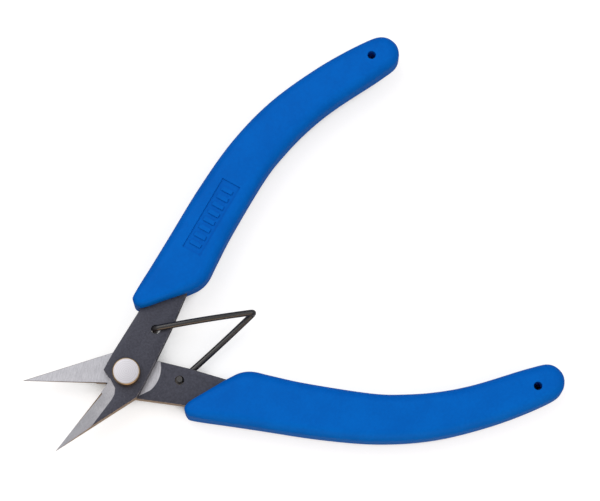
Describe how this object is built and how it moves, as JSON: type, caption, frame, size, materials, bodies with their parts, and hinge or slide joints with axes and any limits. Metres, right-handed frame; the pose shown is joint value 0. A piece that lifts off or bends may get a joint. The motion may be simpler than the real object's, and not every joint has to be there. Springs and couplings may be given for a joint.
{
  "type": "bypass micro shears",
  "caption": "Spring-loaded bypass micro shears: crossed stamped steel levers on a rivet, long pointed ground blades, blue moulded grips and a V-shaped wire return spring.",
  "frame": {"origin": "on the pivot's axis, at the rivet's flat back end", "axes": "+X between the handles, away from the blades; +Y towards the front lever's handle; +Z out of the rivet's head"},
  "size_m": [0.1193, 0.1008, 0.0115],
  "materials": {
    "lever_steel": "black oxide on stamped steel, bare where it is ground",
    "grip": "satin blue moulded vinyl",
    "turned_steel": "turned, bare",
    "spring_wire": "black music wire"
  },
  "bodies": {
    "rear_arm": {"rear_lever": "lever_steel", "rear_grip": "grip", "pivot_rivet": "turned_steel", "pivot_collar": "turned_steel"},
    "front_arm": {"front_lever": "lever_steel", "front_grip": "grip"},
    "spring_rear": {"spring_rear_leg": "spring_wire"},
    "spring_front": {"spring_front_leg": "spring_wire"}
  },
  "joints": [
    {"name": "blade_pivot", "type": "hinge", "parent": "rear_arm", "child": "front_arm", "pos_m": [0, 0, 0.00395], "axis": [0, 0, -1], "range_deg": [0, 43], "stiffness_Nm_per_rad": 0.35},
    {"name": "spring_hook", "type": "hinge", "parent": "rear_arm", "child": "spring_rear", "pos_m": [0.01096, -0.00642, 0.0027], "axis": [0, 0, -1], "range_deg": [0, 33.9]},
    {"name": "spring_bend", "type": "hinge", "parent": "spring_rear", "child": "spring_front", "pos_m": [0.03419, 0.00064, 0.00395], "axis": [0, 0, -1], "range_deg": [-22.6, 0]}
  ],
  "couplings": [
    {"joint": "spring_hook", "follows": "blade_pivot", "ratio": 0.786},
    {"joint": "spring_bend", "follows": "blade_pivot", "ratio": -0.524}
  ]
}
